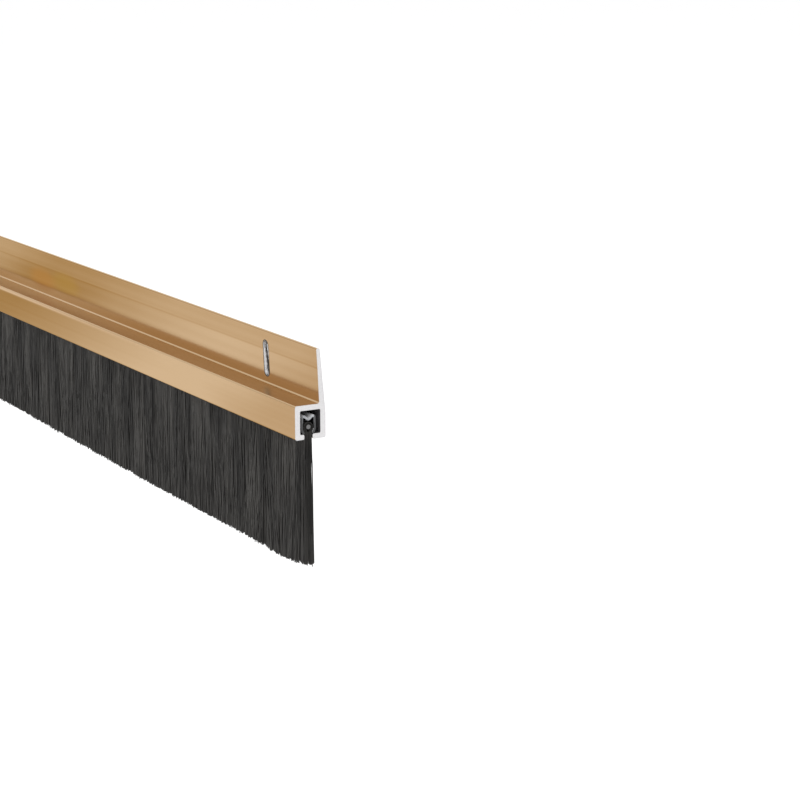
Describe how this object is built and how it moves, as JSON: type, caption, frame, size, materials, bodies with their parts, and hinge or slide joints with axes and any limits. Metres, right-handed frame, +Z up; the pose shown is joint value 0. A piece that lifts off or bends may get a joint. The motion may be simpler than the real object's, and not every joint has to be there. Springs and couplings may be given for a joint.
{
  "type": "brush door sweep",
  "caption": "Extruded carrier with an upright slotted screw flange and a slide-in strip brush whose bristles hang below to close the gap under a door.",
  "frame": {"origin": "on the flat face of the carrier that meets the door, half-way along the sweep and half-way up the brush channel", "axes": "+X along the sweep, +Y out of the back towards the door leaf, +Z up; the room is at -Y and the bristles hang towards -Z"},
  "size_m": [0.914, 0.0065, 0.0425],
  "materials": {
    "anodised_aluminium": "gold anodised satin, bare where it is cut",
    "galvanised_steel": "bright zinc",
    "steel_wire": "drawn",
    "bristle": "black filament"
  },
  "bodies": {
    "carrier": {"carrier": "anodised_aluminium"},
    "strip_brush": {"brush_backing": "galvanised_steel", "core_wire": "steel_wire", "bristle_roots": "bristle"},
    "bristle_bank_01": {"bristle_bank_01": "bristle"},
    "bristle_bank_02": {"bristle_bank_02": "bristle"},
    "bristle_bank_03": {"bristle_bank_03": "bristle"},
    "bristle_bank_04": {"bristle_bank_04": "bristle"},
    "bristle_bank_05": {"bristle_bank_05": "bristle"},
    "bristle_bank_06": {"bristle_bank_06": "bristle"},
    "bristle_bank_07": {"bristle_bank_07": "bristle"},
    "bristle_bank_08": {"bristle_bank_08": "bristle"},
    "bristle_bank_09": {"bristle_bank_09": "bristle"},
    "bristle_bank_10": {"bristle_bank_10": "bristle"},
    "bristle_bank_11": {"bristle_bank_11": "bristle"},
    "bristle_bank_12": {"bristle_bank_12": "bristle"},
    "bristle_bank_13": {"bristle_bank_13": "bristle"},
    "bristle_bank_14": {"bristle_bank_14": "bristle"},
    "bristle_bank_15": {"bristle_bank_15": "bristle"},
    "bristle_bank_16": {"bristle_bank_16": "bristle"}
  },
  "joints": [
    {"name": "brush_slide", "type": "slide", "parent": "carrier", "child": "strip_brush", "axis": [1, 0, 0], "range_m": [-0.914, 0.914]},
    {"name": "bank_01_bend", "type": "hinge", "parent": "strip_brush", "child": "bristle_bank_01", "pos_m": [-0.42844, -0.00367, -0.00485], "axis": [1, 0, 0], "range_deg": [-45, 45], "stiffness_Nm_per_rad": 0.05},
    {"name": "bank_02_bend", "type": "hinge", "parent": "strip_brush", "child": "bristle_bank_02", "pos_m": [-0.37131, -0.00367, -0.00485], "axis": [1, 0, 0], "range_deg": [-45, 45], "stiffness_Nm_per_rad": 0.05},
    {"name": "bank_03_bend", "type": "hinge", "parent": "strip_brush", "child": "bristle_bank_03", "pos_m": [-0.31419, -0.00367, -0.00485], "axis": [1, 0, 0], "range_deg": [-45, 45], "stiffness_Nm_per_rad": 0.05},
    {"name": "bank_04_bend", "type": "hinge", "parent": "strip_brush", "child": "bristle_bank_04", "pos_m": [-0.25706, -0.00367, -0.00485], "axis": [1, 0, 0], "range_deg": [-45, 45], "stiffness_Nm_per_rad": 0.05},
    {"name": "bank_05_bend", "type": "hinge", "parent": "strip_brush", "child": "bristle_bank_05", "pos_m": [-0.19994, -0.00367, -0.00485], "axis": [1, 0, 0], "range_deg": [-45, 45], "stiffness_Nm_per_rad": 0.05},
    {"name": "bank_06_bend", "type": "hinge", "parent": "strip_brush", "child": "bristle_bank_06", "pos_m": [-0.14281, -0.00367, -0.00485], "axis": [1, 0, 0], "range_deg": [-45, 45], "stiffness_Nm_per_rad": 0.05},
    {"name": "bank_07_bend", "type": "hinge", "parent": "strip_brush", "child": "bristle_bank_07", "pos_m": [-0.08569, -0.00367, -0.00485], "axis": [1, 0, 0], "range_deg": [-45, 45], "stiffness_Nm_per_rad": 0.05},
    {"name": "bank_08_bend", "type": "hinge", "parent": "strip_brush", "child": "bristle_bank_08", "pos_m": [-0.02856, -0.00367, -0.00485], "axis": [1, 0, 0], "range_deg": [-45, 45], "stiffness_Nm_per_rad": 0.05},
    {"name": "bank_09_bend", "type": "hinge", "parent": "strip_brush", "child": "bristle_bank_09", "pos_m": [0.02856, -0.00367, -0.00485], "axis": [1, 0, 0], "range_deg": [-45, 45], "stiffness_Nm_per_rad": 0.05},
    {"name": "bank_10_bend", "type": "hinge", "parent": "strip_brush", "child": "bristle_bank_10", "pos_m": [0.08569, -0.00367, -0.00485], "axis": [1, 0, 0], "range_deg": [-45, 45], "stiffness_Nm_per_rad": 0.05},
    {"name": "bank_11_bend", "type": "hinge", "parent": "strip_brush", "child": "bristle_bank_11", "pos_m": [0.14281, -0.00367, -0.00485], "axis": [1, 0, 0], "range_deg": [-45, 45], "stiffness_Nm_per_rad": 0.05},
    {"name": "bank_12_bend", "type": "hinge", "parent": "strip_brush", "child": "bristle_bank_12", "pos_m": [0.19994, -0.00367, -0.00485], "axis": [1, 0, 0], "range_deg": [-45, 45], "stiffness_Nm_per_rad": 0.05},
    {"name": "bank_13_bend", "type": "hinge", "parent": "strip_brush", "child": "bristle_bank_13", "pos_m": [0.25706, -0.00367, -0.00485], "axis": [1, 0, 0], "range_deg": [-45, 45], "stiffness_Nm_per_rad": 0.05},
    {"name": "bank_14_bend", "type": "hinge", "parent": "strip_brush", "child": "bristle_bank_14", "pos_m": [0.31419, -0.00367, -0.00485], "axis": [1, 0, 0], "range_deg": [-45, 45], "stiffness_Nm_per_rad": 0.05},
    {"name": "bank_15_bend", "type": "hinge", "parent": "strip_brush", "child": "bristle_bank_15", "pos_m": [0.37131, -0.00367, -0.00485], "axis": [1, 0, 0], "range_deg": [-45, 45], "stiffness_Nm_per_rad": 0.05},
    {"name": "bank_16_bend", "type": "hinge", "parent": "strip_brush", "child": "bristle_bank_16", "pos_m": [0.42844, -0.00367, -0.00485], "axis": [1, 0, 0], "range_deg": [-45, 45], "stiffness_Nm_per_rad": 0.05}
  ]
}
